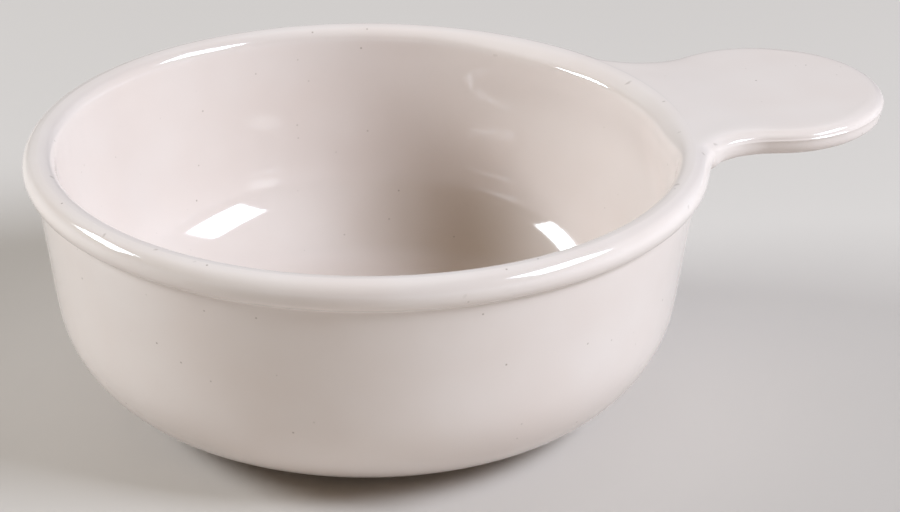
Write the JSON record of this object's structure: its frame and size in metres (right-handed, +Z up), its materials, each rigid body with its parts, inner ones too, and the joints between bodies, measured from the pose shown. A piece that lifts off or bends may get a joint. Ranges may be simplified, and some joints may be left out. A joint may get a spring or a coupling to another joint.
{
  "type": "lug soup bowl",
  "caption": "Round glazed bowl for soup, with a rolled rim, a rounded base on a foot ring, and a flat paddle-shaped lug at the rim to lift it by.",
  "frame": {"origin": "middle of the foot ring's bearing face, on the table", "axes": "+Z up along the bowl's axis, +X out along the lug"},
  "size_m": [0.1852, 0.14, 0.0553],
  "materials": {
    "biscuit_clay": "matte",
    "fired_slip": "matte",
    "glaze": "gloss"
  },
  "bodies": {
    "root": {"bowl_body": "biscuit_clay", "lug_handle": "biscuit_clay", "luting_slip": "fired_slip", "glaze_coat": "glaze", "underside_glaze": "glaze"}
  },
  "joints": []
}
